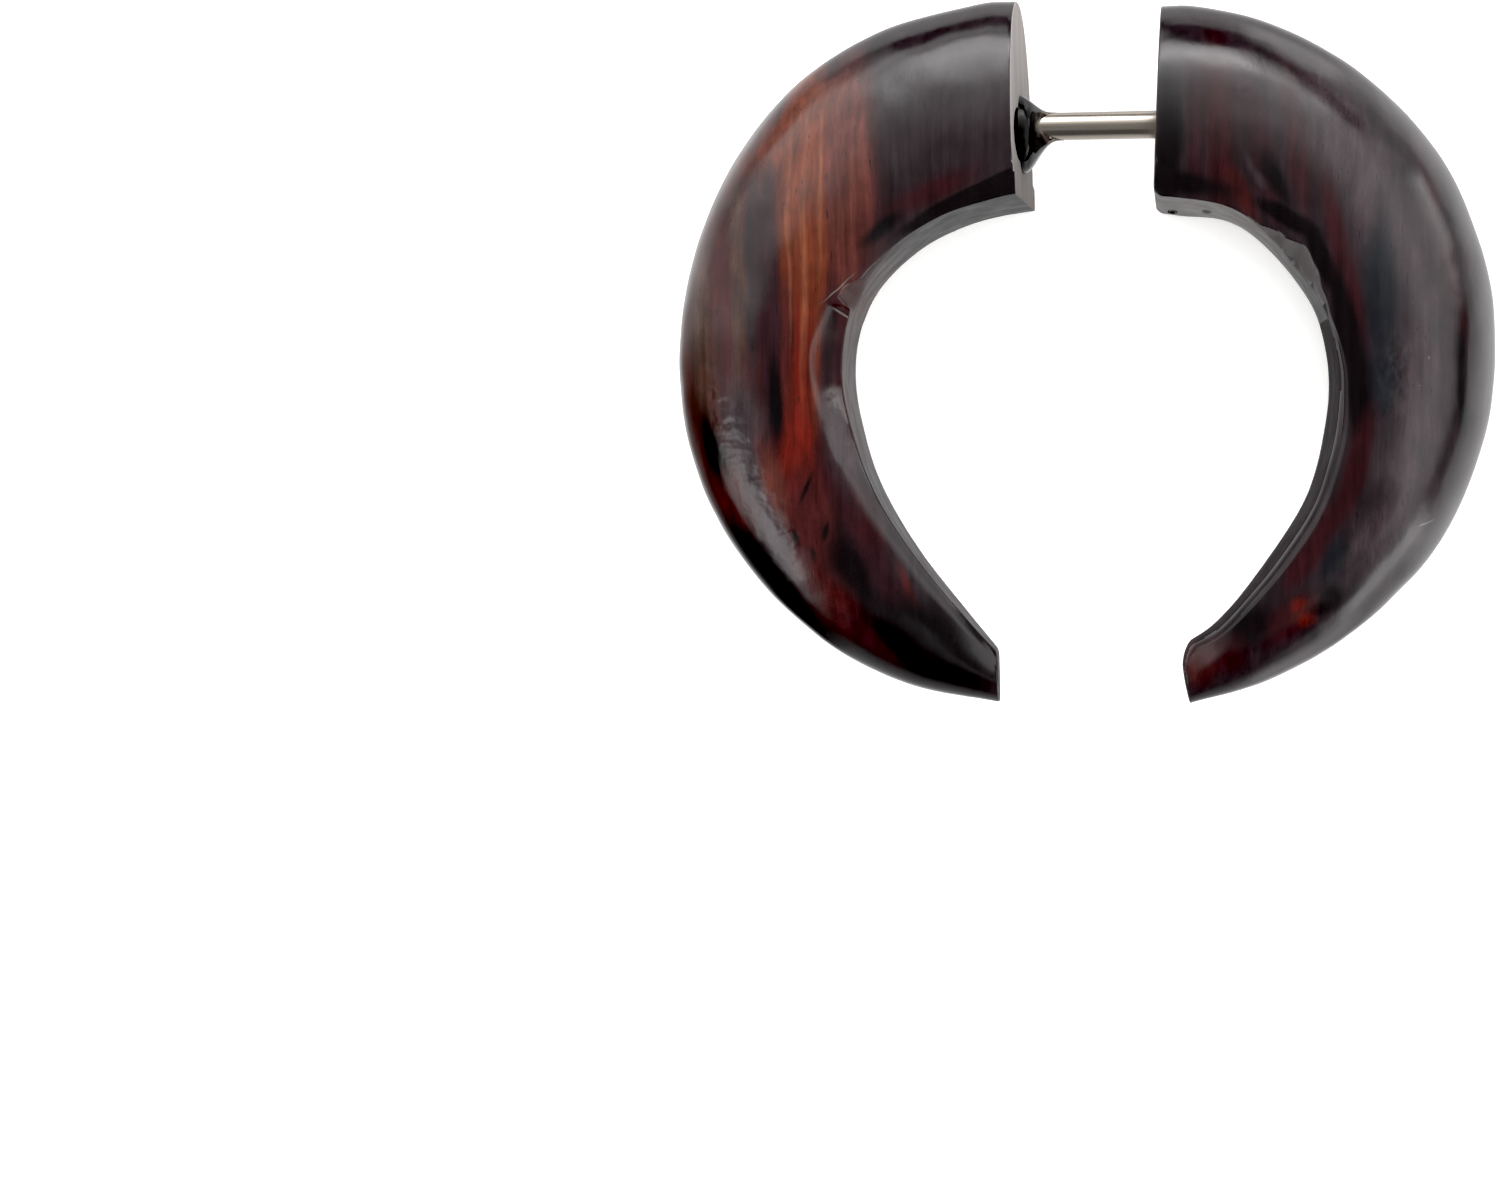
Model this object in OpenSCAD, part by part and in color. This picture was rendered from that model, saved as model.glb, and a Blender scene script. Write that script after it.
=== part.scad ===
// Fake gauge earring: a carved wooden crescent, sawn into two horns that sit on one thin steel post.
// It lies flat. +X runs along the post, +Y towards the sawn gap, +Z up through its thickness.

/* [Horns] */
// Thickness of both horns from the sawn end to the belly
horn_t = 8; // [6:0.25:10]
// Where the section is thickest, as a share of its depth from the inner face
crown_at = 0.24; // [0.1:0.02:0.4]
// How square the outer side is, where 2 is an ellipse
roundness = 2.2; // [2:0.1:3]
// Height of the inner face, as a share of the section's thickness
inner_share = 0.95; // [0.8:0.01:0.99]

/* [Saw cuts] */
// Place of the left horn's cut, on the post's axis
left_cut_x = -2.55; // [-3.5:0.05:-2]
// Place of the right horn's cut, on the post's axis
right_cut_x = 3.45; // [3:0.05:4.5]
// Lean of both cuts from upright, in degrees
cut_lean = 4.9; // [0:0.1:6]
// Turn of the left cut seen from above, in degrees
left_cut_turn = 1.5; // [-2:0.1:3]

/* [Post] */
// Diameter of the steel wire
post_d = 1.2; // [0.8:0.1:1.6]
// Height of the post's axis towards the top of the crescent
post_y = 9.85; // [9:0.05:11]
// Length of wire glued into the left horn
held_len = 7; // [4:0.25:8]
// Length of wire that the right horn slides over
grip_len = 6.5; // [4:0.25:7]
// Chamfer on both ends of the wire
post_chamfer = 0.2; // [0.1:0.05:0.3]

/* [Holes] */
// Radial room round the wire in the glued hole
glued_room = 0.02; // [0.01:0.01:0.1]
// Radial room round the wire in the sliding hole
sliding_room = 0.05; // [0.02:0.01:0.1]
// Depth of each hole past the end of the wire
hole_extra = 0.4; // [0.2:0.1:1]

/* [Glue] */
// Radius of the glue where it meets the left cut
glue_r = 1.45; // [1.1:0.05:1.8]
// How far the glue creeps along the wire
glue_len = 1.35; // [0.8:0.05:1.8]
// Lowest point of the run of glue below the post's axis
drip_drop = 1.7; // [1.5:0.05:2.2]

/* [Hidden] */

// Rows run from beyond the saw cut to the tip. Columns: outer x, outer y, inner x, inner y,
// thickness as a share of horn_t, and the chamfer along the inner edges.
left_rows = [
    [ -0.6,  15.2,  -0.8,   6.8, 1.00, 0.12],
    [ -4.4,  15.1,  -3.6,   6.4, 1.00, 0.12],
    [ -8.8,  14.0,  -6.2,   5.5, 1.00, 0.15],
    [-12.9,  11.3,  -8.2,   4.1, 1.00, 0.45],
    [-15.9,   7.0,  -9.6,   2.1, 1.00, 0.70],
    [-17.4,   2.0, -10.1,  -0.5, 1.00, 0.35],
    [-17.2,  -3.5,  -9.7,  -3.3, 0.95, 0.60],
    [-15.2,  -8.2,  -8.6,  -6.2, 0.86, 0.75],
    [-11.6, -12.1,  -7.0,  -8.7, 0.70, 0.65],
    [ -7.6, -14.3,  -5.1, -11.1, 0.50, 0.45],
    [ -3.7, -15.1,  -3.4, -13.3, 0.28, 0.20]];
right_rows = [
    [  1.2,  14.7,   1.4,   6.5, 1.00, 0.12],
    [  4.7,  14.8,   4.2,   6.3, 1.00, 0.12],
    [  8.8,  13.7,   6.5,   5.7, 1.00, 0.30],
    [ 12.8,  11.0,   8.5,   4.0, 1.00, 0.80],
    [ 15.9,   6.9,  10.0,   1.7, 1.00, 0.60],
    [ 17.4,   1.5,  10.8,  -1.1, 1.00, 0.20],
    [ 17.0,  -3.8,  10.6,  -3.8, 0.95, 0.35],
    [ 15.1,  -8.3,   9.7,  -6.6, 0.86, 0.60],
    [ 11.7, -11.9,   8.1,  -9.1, 0.70, 0.60],
    [  8.0, -14.1,   6.0, -11.6, 0.50, 0.45],
    [  4.5, -15.1,   4.3, -13.4, 0.28, 0.20]];

// Rings between two rows, and steps round the outer side of a ring
rings_per_row = 4;
arc_steps = 18;
post_r = post_d / 2;
mid_z = horn_t / 2;
post_axis = [0, post_y, mid_z];
// Length of each side of the block that a cut takes away
saw = 30;
$fn = 48;

// Smooth value between b and c, at share t, with a before and d after
function blend(a, b, c, d, t) =
    b + 0.5 * t * (c - a + t * (2 * a - 5 * b + 4 * c - d + t * (3 * b - a - 3 * c + d)));

// One row of a table at the fractional place u
function row_at(rows, u) =
    let (last = len(rows) - 1,
         i = min(floor(u), last - 1),
         before = i > 0 ? rows[i - 1] : 2 * rows[0] - rows[1],
         after = i + 2 <= last ? rows[i + 2] : 2 * rows[last] - rows[last - 1])
    blend(before, rows[i], rows[i + 1], after, u - i);

// Share of the half thickness at a share of the depth on the inner side of the crown
function dome(w) = 1 - (1 - inner_share) * pow((crown_at - w) / crown_at, 2);

// Depth share and height share of step k round the outer side, from the top to the bottom
function outer_step(k) =
    let (a = 90 - 180 * k / arc_steps, p = 2 / roundness)
    [crown_at + (1 - crown_at) * pow(abs(cos(a)), p), sign(sin(a)) * pow(abs(sin(a)), p)];

// The section as depth shares and height shares, from the top inner edge round to the bottom one
function section(depth, half_t, edge) =
    let (c = edge / depth, drop = edge / half_t)
    concat(
        [[0, inner_share - drop], [c, dome(c)]],
        [for (k = [0:arc_steps]) outer_step(k)],
        [[c, -dome(c)], [0, drop - inner_share]]);

// The section of a row, stood up between its inner and outer points; turn is 1 or -1
function ring(row, turn) =
    let (inner = [row[2], row[3]],
         across = [row[0], row[1]] - inner,
         half_t = mid_z * min(row[4], 1))
    [for (s = section(norm(across), half_t, row[5]))
        [inner.x + across.x * s[0], inner.y + across.y * s[0], mid_z + turn * half_t * s[1]]];

// A whole horn swept through the rows of its table
module swept_horn(rows, turn) {
    last = (len(rows) - 1) * rings_per_row;
    rings = [for (k = [0:last]) ring(row_at(rows, k / rings_per_row), turn)];
    n = len(rings[0]);
    points = [for (r = rings) for (p = r) p];
    walls = [
        for (k = [0:last - 1]) for (i = [0:n - 1])
            let (a = k * n + i, b = k * n + (i + 1) % n)
            each [[a, a + n, b + n], [a, b + n, b]]];
    start_cap = [for (i = [0:n - 1]) i];
    end_cap = [for (i = [n - 1:-1:0]) last * n + i];
    polyhedron(points, concat(walls, [start_cap, end_cap]), convexity = 6);
}

// A block on one side of a cut: side is 1 for all that lies towards +X of it, or -1
module saw_block(cut_x, turn, side) {
    translate(post_axis + [cut_x, 0, 0])
        rotate([0, -cut_lean, turn])
            translate([side > 0 ? 0 : -saw, -saw / 2, -saw / 2])
                cube(saw);
}

// A round hole along the post's axis between two places
module hole(x0, x1, r) {
    translate(post_axis + [x0, 0, 0])
        rotate([0, 90, 0])
            cylinder(h = x1 - x0, r = r);
}

module left_horn() {
    color("saddlebrown")
        difference() {
            swept_horn(left_rows, 1);
            saw_block(left_cut_x, left_cut_turn, 1);
            hole(left_cut_x - held_len - hole_extra, left_cut_x + 1, post_r + glued_room);
        }
}

module right_horn() {
    color("#3a2226")
        difference() {
            swept_horn(right_rows, -1);
            saw_block(right_cut_x, 0, -1);
            hole(right_cut_x - 1, right_cut_x + grip_len + hole_extra, post_r + sliding_room);
        }
}

module post() {
    length = right_cut_x - left_cut_x + held_len + grip_len;
    color("silver")
        translate(post_axis + [left_cut_x - held_len, 0, 0])
            rotate([0, 90, 0])
                rotate_extrude()
                    polygon([
                        [0, 0], [post_r - post_chamfer, 0], [post_r, post_chamfer],
                        [post_r, length - post_chamfer], [post_r - post_chamfer, length], [0, length]]);
}

// Glue climbs from the cut to the wire in a hollow curve, and one run of it hangs below
module glue_bead() {
    wire = post_r + glued_room;
    back = 0.6;
    steps = 8;
    hollow = [for (k = [0:steps])
        let (t = k / steps)
        [wire + (glue_r - wire) * pow(1 - t, 2), back + glue_len * t]];
    color("black")
        difference() {
            translate(post_axis + [left_cut_x - back, 0, 0]) {
                rotate([0, 90, 0])
                    rotate_extrude()
                        polygon(concat([[wire, 0], [glue_r, 0]], hollow));
                glue_run(back);
            }
            saw_block(left_cut_x, left_cut_turn, -1);
            hole(left_cut_x - back - 1, left_cut_x + glue_len + 1, wire);
        }
}

// The hanging run, from the bead's middle down to a small drop
module glue_run(back) {
    drop_r = 0.3;
    hull() {
        translate([back, 0, 0]) sphere(r = glue_r * 0.7, $fn = 24);
        translate([back - drop_r, drop_r - drip_drop, 0]) sphere(r = drop_r, $fn = 24);
    }
}

left_horn();
right_horn();
post();
glue_bead();
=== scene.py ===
"""Looks of a fake gauge earring: two carved horns of striped wood on a thin steel post.

The frame gives the size and place of every piece. This file rebuilds the pieces as smooth carved
forms, gives each its finish, and adds a pale floor, soft light and a camera that looks down.
"""
import math
from collections import namedtuple

import bmesh
import bpy
from bpy.props import FloatProperty, FloatVectorProperty, IntProperty, PointerProperty
from mathutils import Matrix, Vector, noise


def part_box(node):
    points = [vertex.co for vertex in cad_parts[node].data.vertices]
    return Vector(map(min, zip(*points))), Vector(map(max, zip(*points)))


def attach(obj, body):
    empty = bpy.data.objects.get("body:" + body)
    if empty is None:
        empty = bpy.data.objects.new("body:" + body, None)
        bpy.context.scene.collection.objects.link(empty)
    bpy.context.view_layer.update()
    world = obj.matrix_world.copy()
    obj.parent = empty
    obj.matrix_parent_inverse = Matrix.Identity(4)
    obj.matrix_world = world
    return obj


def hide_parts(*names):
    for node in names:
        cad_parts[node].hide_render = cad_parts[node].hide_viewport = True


bl_info = {
    "name": "Fake Gauge Earring",
    "version": (1, 0, 0),
    "blender": (4, 5, 0),
    "location": "View3D > Sidebar > Earring",
    "description": "Builds a carved wooden fake gauge earring round its packed frame",
    "category": "Object",
}

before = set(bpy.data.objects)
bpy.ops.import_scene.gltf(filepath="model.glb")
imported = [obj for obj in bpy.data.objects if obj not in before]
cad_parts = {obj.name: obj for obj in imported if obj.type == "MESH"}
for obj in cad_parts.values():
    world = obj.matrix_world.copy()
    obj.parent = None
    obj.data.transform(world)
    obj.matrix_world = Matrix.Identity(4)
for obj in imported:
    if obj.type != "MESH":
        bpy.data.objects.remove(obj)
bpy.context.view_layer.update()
POST_LOW, POST_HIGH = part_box("post")
HORN_LOW, HORN_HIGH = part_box("left_horn")

MM = 0.001
# Height of the middle of the horns, and the post's axis, from the frame
MID_Z = (HORN_LOW.z + HORN_HIGH.z) / 2
POST_AXIS = Vector((0, (POST_LOW.y + POST_HIGH.y) / 2, (POST_LOW.z + POST_HIGH.z) / 2))
POST_R = (POST_HIGH.y - POST_LOW.y) / 2

# The horns' sections in millimetres, from beyond the saw cut to the tip. Columns: outer x, outer y,
# inner x, inner y, thickness as a share of the whole.
LEFT_ROWS = [
    [-0.6, 15.2, -0.8, 6.8, 1.00],
    [-4.4, 15.1, -3.6, 6.4, 1.00],
    [-8.8, 14.0, -6.2, 5.5, 1.00],
    [-12.9, 11.3, -8.2, 4.1, 1.00],
    [-15.9, 7.0, -9.6, 2.1, 1.00],
    [-17.4, 2.0, -10.1, -0.5, 1.00],
    [-17.2, -3.5, -9.7, -3.3, 0.95],
    [-15.2, -8.2, -8.6, -6.2, 0.86],
    [-11.6, -12.1, -7.0, -8.7, 0.70],
    [-7.6, -14.3, -5.1, -11.1, 0.50],
    [-3.52, -15.1, -3.58, -12.85, 0.28],
]
RIGHT_ROWS = [
    [1.2, 14.7, 1.4, 6.5, 1.00],
    [4.7, 14.8, 4.2, 6.3, 1.00],
    [8.8, 13.7, 6.5, 5.7, 1.00],
    [12.8, 11.0, 8.5, 4.0, 1.00],
    [15.9, 6.9, 10.0, 1.7, 1.00],
    [17.4, 1.5, 10.65, -1.1, 1.00],
    [17.0, -3.8, 10.4, -3.8, 0.95],
    [15.1, -8.3, 9.5, -6.5, 0.86],
    [11.7, -11.9, 7.9, -9.0, 0.70],
    [8.0, -14.1, 5.85, -11.5, 0.50],
    [4.65, -15.15, 4.25, -12.65, 0.28],
]

# The wood's figure in millimetres: middle x, middle y, half width, half length, lean in degrees,
# softness of the edge, and the colour's name
LEFT_FIGURE = [
    [-13.4, 1.0, 4.6, 11.5, -6, 0.25, "maroon"],
    [-9.95, 7.6, 1.15, 4.8, -3, 0.42, "russet"],
    [-11.75, 4.5, 1.0, 9.6, 0, 0.22, "orange"],
    [-12.3, 9.5, 0.8, 2.6, -47, 0.5, "orange"],
    [-12.0, -4.2, 0.95, 2.6, 6, 0.45, "ember"],
    [-12.45, 0.6, 0.35, 2.8, 0, 0.6, "maroon"],
    [-11.7, -0.4, 0.5, 3.2, 0, 0.6, "ember"],
    [-12.3, 5.4, 0.09, 3.6, 0, 0.9, "amber"],
    [-11.65, 4.2, 0.16, 4.2, 0, 0.95, "amber"],
    [-11.0, 6.6, 0.08, 3.0, -1, 0.9, "amber"],
    [-14.0, 3.4, 0.35, 4.6, 0, 0.7, "purple"],
    [-14.6, 3.2, 0.4, 4.8, 0, 0.6, "umber"],
    [-15.2, 1.8, 0.45, 4.6, 0, 0.6, "maroon"],
    [-16.3, 1.2, 0.7, 5.0, 2, 0.6, "umber"],
    [-13.25, 1.9, 0.5, 6.2, 1, 0.35, "plum"],
    [-12.95, -2.0, 0.28, 2.0, 4, 0.5, "black"],
    [-14.3, -3.3, 0.9, 2.0, 8, 0.6, "mauve_and_sheen"],
    [-15.85, -4.0, 0.5, 1.8, 16, 0.6, "black"],
    [-12.0, -10.8, 1.2, 5.2, 45, 0.3, "black"],
    [-14.8, -6.0, 0.45, 1.3, 24, 0.4, "maroon"],
    [-13.0, -7.2, 0.7, 3.0, 26, 0.6, "mauve_and_sheen"],
    [-12.9, -5.6, 0.5, 1.8, 20, 0.6, "russet"],
    [-11.2, -7.3, 1.0, 2.6, 12, 0.5, "maroon"],
    [-10.4, -5.2, 0.5, 1.6, 22, 0.6, "wine"],
    [-11.5, -5.7, 0.09, 0.6, -22, 0.8, "black"],
    [-11.3, -8.6, 0.16, 0.35, 10, 0.6, "black"],
    [-10.7, -7.6, 0.12, 0.4, -10, 0.6, "black"],
    [-12.0, -7.8, 0.1, 0.3, 10, 0.6, "black"],
    [-9.6, -9.4, 0.9, 2.0, 16, 0.6, "black"],
    [-9.3, -7.0, 0.7, 2.2, 24, 0.6, "wine"],
    [-10.8, -10.4, 0.8, 2.0, 36, 0.6, "maroon"],
    [-8.0, -10.4, 0.6, 2.2, 26, 0.6, "plum"],
    [-7.4, -10.0, 0.22, 1.0, 22, 0.7, "maroon"],
    [-6.4, -12.6, 1.7, 3.2, 58, 0.4, "black"],
    [-9.2, -12.2, 0.35, 1.6, 48, 0.6, "wine"],
    [-10.4, 0.6, 0.5, 2.2, 3, 0.7, "plum"],
    [-10.1, -3.4, 0.6, 2.4, 12, 0.8, "mauve_and_sheen"],
    [-6.3, 6.7, 0.5, 1.8, -66, 0.7, "wine"],
    [-8.4, 5.2, 0.3, 1.0, -50, 0.6, "black"],
    # A painted dark reflection: this crisp black band stands in for the dark overhead that the flat top
    # mirrors along the inner edge by the cut
    [-3.0, 7.0, 0.62, 4.9, -67, 0.1, "black"],
    [-10.2, 2.75, 0.03, 0.8, -49, 0.5, "scuff"],
]
RIGHT_FIGURE = [
    [3.6, 8.6, 0.5, 3.6, 0, 0.5, "black"],
    [4.7, 9.0, 0.35, 3.2, 2, 0.6, "plum"],
    [5.8, 9.4, 0.65, 4.2, 3, 0.6, "wine"],
    [6.7, 6.5, 0.35, 1.2, 28, 0.6, "maroon"],
    [7.4, 8.6, 0.5, 3.2, 10, 0.6, "plum"],
    [8.1, 7.0, 0.35, 1.1, 28, 0.6, "black"],
    [8.9, 8.9, 0.5, 3.0, 8, 0.6, "wine"],
    [11.6, 7.2, 1.2, 4.8, 30, 0.7, "mauve_and_sheen"],
    [4.3, 6.9, 0.45, 2.0, 80, 0.5, "black"],
    [8.6, 5.4, 0.38, 1.5, 60, 0.35, "black"],
    [10.0, 3.7, 0.4, 1.7, 25, 0.35, "black"],
    [10.6, 4.8, 0.4, 2.6, 12, 0.6, "wine"],
    [11.5, 1.0, 0.35, 2.6, 4, 0.6, "wine"],
    [11.05, 0.9, 0.5, 2.4, 10, 0.4, "black"],
    [11.45, -1.8, 0.55, 2.2, 0, 0.4, "black"],
    [12.4, 2.4, 0.6, 3.4, -2, 0.6, "slate"],
    [12.4, -1.5, 0.5, 1.2, 0, 0.6, "slate"],
    [13.9, -2.6, 0.8, 5.0, -5, 0.6, "mauve_and_sheen"],
    [11.4, -4.9, 0.5, 2.2, -12, 0.5, "wine"],
    [10.3, -7.3, 0.45, 1.8, -32, 0.6, "wine"],
    # Partly a painted sheen: this paler streak puts back light that a dark place in the room takes from the
    # polish here
    [12.3, -7.9, 0.8, 1.6, -30, 0.6, "mauve_and_sheen"],
    [10.5, -8.7, 0.5, 0.9, -20, 0.7, "slate"],
    [9.3, -9.0, 0.45, 1.3, -32, 0.6, "wine"],
    [10.4, -10.4, 0.5, 0.5, -50, 0.6, "black"],
    [8.6, -11.4, 0.7, 1.3, -50, 0.6, "wine"],
    [7.1, -11.8, 0.75, 1.1, -30, 0.5, "black"],
    [9.9, -10.9, 0.3, 0.4, -50, 0.6, "black"],
    [9.25, -11.0, 0.4, 0.6, -20, 0.9, "maroon"],
    [9.2, -10.75, 0.2, 0.25, -30, 1.0, "ember"],
    [9.45, -11.35, 0.25, 0.25, -30, 1.0, "ember"],
    [6.2, -12.8, 0.8, 0.8, 0, 0.6, "wine"],
    [5.0, -13.4, 0.7, 0.8, 0, 0.7, "maroon"],
    [15.8, -1.0, 0.22, 2.7, 0, 0.4, "black"],
    [14.9, 4.6, 0.3, 3.6, 14, 0.7, "wine"],
    [14.3, -0.45, 0.05, 0.07, 0, 0.5, "scuff"],
    [13.9, -1.6, 0.03, 0.03, 0, 0.5, "scuff"],
    [7.05, 7.6, 0.14, 0.4, 25, 0.9, "mauve_and_sheen"],
    [7.5, 7.0, 0.14, 0.36, 25, 0.9, "mauve_and_sheen"],
    [14.25, -7.3, 0.025, 0.33, -66, 0.5, "scuff"],
]
# Places where the tool chattered: middle x, middle y, half width, half length, lean in degrees
LEFT_CHATTER = [[-14.0, -5.2, 0.9, 4.6, 24], [-10.3, -3.4, 0.5, 1.8, 8]]
RIGHT_CHATTER = [[12.8, -1.0, 0.8, 1.6, 0]]
# Two small knots fallen out of the right horn's inner face: place and half sizes
RIGHT_PITS = [
    (Vector((3.99, 6.36, 1.5)) * MM, Vector((0.24, 0.24, 0.9)) * MM),
    (Vector((5.39, 6.07, 3.6)) * MM, Vector((0.22, 0.26, 1.0)) * MM),
]

# How each horn was worked, from its sections to its finish
Horn = namedtuple("Horn", [
    # The sections, and the saw cut: its place along X, its turn seen from above, its lean from upright
    "rows", "cut_x", "cut_turn", "cut_lean",
    # These and the next lists have a row's place and a value there. The shallow bevel along the upper
    # inner edge has a width in millimetres and a fall, which is a slope, and its corner is rounded.
    "bevel", "fall", "rounding",
    # The steeper paring that a knife left on that edge: its width in millimetres, and its slope
    "paring", "paring_slope",
    # How far the inner face draws back towards its top and its bottom, in millimetres
    "back_at_top", "back_at_bottom",
    # How far the inner face rounds off at the cut and at the tip, in millimetres
    "ends",
    # What the carving left behind
    "chatter", "pits", "carving_seed",
    "wood", "figure", "grain_seed",
    # A face by the cut is sawn where it looks along X by more than this
    "sawn_edge",
    # The filed face's share of dust, and the heights along Y between which it comes in. Below the
    # first of them the face is dark and matt.
    "dust",
    # Below this height along Y the edge is rubbed dull
    "rubbed_to",
])
LEFT = Horn(
    rows=LEFT_ROWS,
    cut_x=-2.55 * MM,
    cut_turn=math.radians(1.5),
    cut_lean=math.radians(4.9),
    bevel=[(0, 0.05), (4.06, 0.08), (4.25, 0.9), (5, 1.3), (6, 1.1), (7, 0.65),
           (8, 0.42), (9, 0.35), (10, 0.3)],
    fall=[(0, 0.5), (4.0, 0.5), (4.2, 0.8), (5.2, 0.75), (6, 0.55), (7, 0.5)],
    rounding=[(0, 0.04), (4.1, 0.05), (5, 0.1), (10, 0.09)],
    paring=[(2.9, 0), (3.5, 0.15), (3.9, 0.6), (4.06, 0.62), (4.12, 0)],
    paring_slope=3,
    back_at_top=[(0, 0), (10, 0)],
    back_at_bottom=[(0, 0), (10, 0)],
    ends=(0.03, 0.3),
    chatter=LEFT_CHATTER,
    pits=[],
    carving_seed=3.1,
    wood="striped_ebony",
    figure=LEFT_FIGURE,
    grain_seed=2.0,
    sawn_edge=0.35,
    dust=(0.045, -30, -24),
    rubbed_to=-30,
)
RIGHT = Horn(
    rows=RIGHT_ROWS,
    cut_x=3.25 * MM,
    cut_turn=math.radians(-1.9),
    cut_lean=math.radians(2),
    bevel=[(0, 0.05), (4.0, 0.08), (5, 0.25), (6, 0.4), (10, 0.3)],
    fall=[(0, 0.5), (10, 0.5)],
    rounding=[(0, 0.05), (4, 0.06), (5, 0.3), (6, 0.45), (9, 0.5), (10, 0.4)],
    paring=[(2.3, 0), (2.8, 0.35), (3.2, 0.7), (3.5, 0.5), (3.85, 0.2), (4.3, 0.06), (4.8, 0)],
    paring_slope=1.5,
    back_at_top=[(4.2, 0), (5.2, 0.08), (6.2, 0.18), (7.4, 0.31), (9, 0.33), (10, 0.2)],
    back_at_bottom=[(1.0, 0), (2.6, 0.45), (4.4, 0.48), (5.2, 0.3), (9, 0.33), (10, 0.2)],
    ends=(0.6, 1.0),
    chatter=RIGHT_CHATTER,
    pits=RIGHT_PITS,
    carving_seed=8.6,
    wood="dark_ebony",
    figure=RIGHT_FIGURE,
    grain_seed=40.0,
    sawn_edge=0.98,
    dust=(0.32, 1.2, 7.2),
    rubbed_to=5.5,
)

# How finely a section is drawn: the wall as shares of its height, then the steps round its corner,
# down the bevel, up to the crown and round the outer side
WALL_SHARES = (0, 0.14, 0.28, 0.42, 0.56, 0.7, 0.8, 0.9, 1)
CORNER_STEPS, BEVEL_STEPS, CROWN_STEPS, SIDE_STEPS = 6, 5, 8, 56
# The lower inner edge's bevel, as a share of the upper one's
LOWER_BEVEL = 0.4
# How deep into a section the inner face draws back, and how deep it rounds off at the ends
BACK_DEPTH, ROUND_OFF_DEPTH = 0.3, 0.8
# The lean of a cut is felt this far into the horn, in the rows before this one
CUT_FADE, CUT_ROWS = 2.4 * MM, 4
# Length along the surface of the long waves, of the dents between them and of the tool marks
WAVE_LENGTH, DENT_LENGTH, MARK_LENGTH = 3.6 * MM, 1.7 * MM, 0.8 * MM
# Lengths of the ripples across, along and through a patch of chatter, in millimetres
RIPPLE = (0.5, 0.4, 0.5)
# How every value that is spread from one range to another eases at its ends
SMOOTH = {"interpolation_type": "SMOOTHSTEP"}
# Nearly all values of a noise lie between these two, so they are the range that it is spread from
NOISE = {1: 0.3, 2: 0.7}

# The finishes of the ebony. Roughness runs from its least to its most worn. Dust is its share, with
# the heights along Y between which it comes in; the filed face has its own for each horn.
Finish = namedtuple("Finish", "roughness specular dust")
FINISHES = {
    # Carved, sanded and polished by hand: deep and dark, and mirrors the room with soft edges
    "polished": Finish((0.1, 0.18), 0.5, (0.0, 0, 1)),
    # Filed and left: a faint broad sheen, greyed where dust sits in the file's marks
    "filed": Finish((0.4, 0.5), 0.1, None),
    # Sawn across the grain and left: dry and without any sheen. Its pale grey is partly dust and partly a
    # painted sheen that stands in for the grazing reflection its zero specular takes away; paler towards +Y
    "sawn": Finish((0.5, 0.6), 0.0, (0.73, -8, 16)),
    # At the inner face's lower end along Y: dark, matt and nearly black, without a mirror
    "dark_matt": Finish((0.55, 0.65), 0.03, (0.012, -40, -39)),
    # Rubbed along an edge: the polish has gone satin and a little grey
    "rubbed": Finish((0.3, 0.4), 0.4, (0.16, -7, 2)),
}
# The glue smeared over the left cut: its middle and its half sizes in millimetres
SMEAR_MIDDLE, SMEAR_HALF = (0, 9.4, 5.2), (1000, 1.15, 1.95)

# The room as a polished surface mirrors it. Its bright side has this azimuth, and it fades to the dark
# side between these cosines of the angle from it
ROOM_AZIMUTH = 57
ROOM_FADE = (-0.5, 0.12)
# The bright side's brightness by elevation in degrees
ROOM = [(-90, 1.0), (-50, 1.4), (-38, 1.75), (-20, 2.1), (-6, 1.9), (2, 1.5), (20, 1.2), (34, 1.55),
        (48, 1.95), (58, 1.3), (68, 0.6), (78, 0.15), (90, 0.0)]
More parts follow.
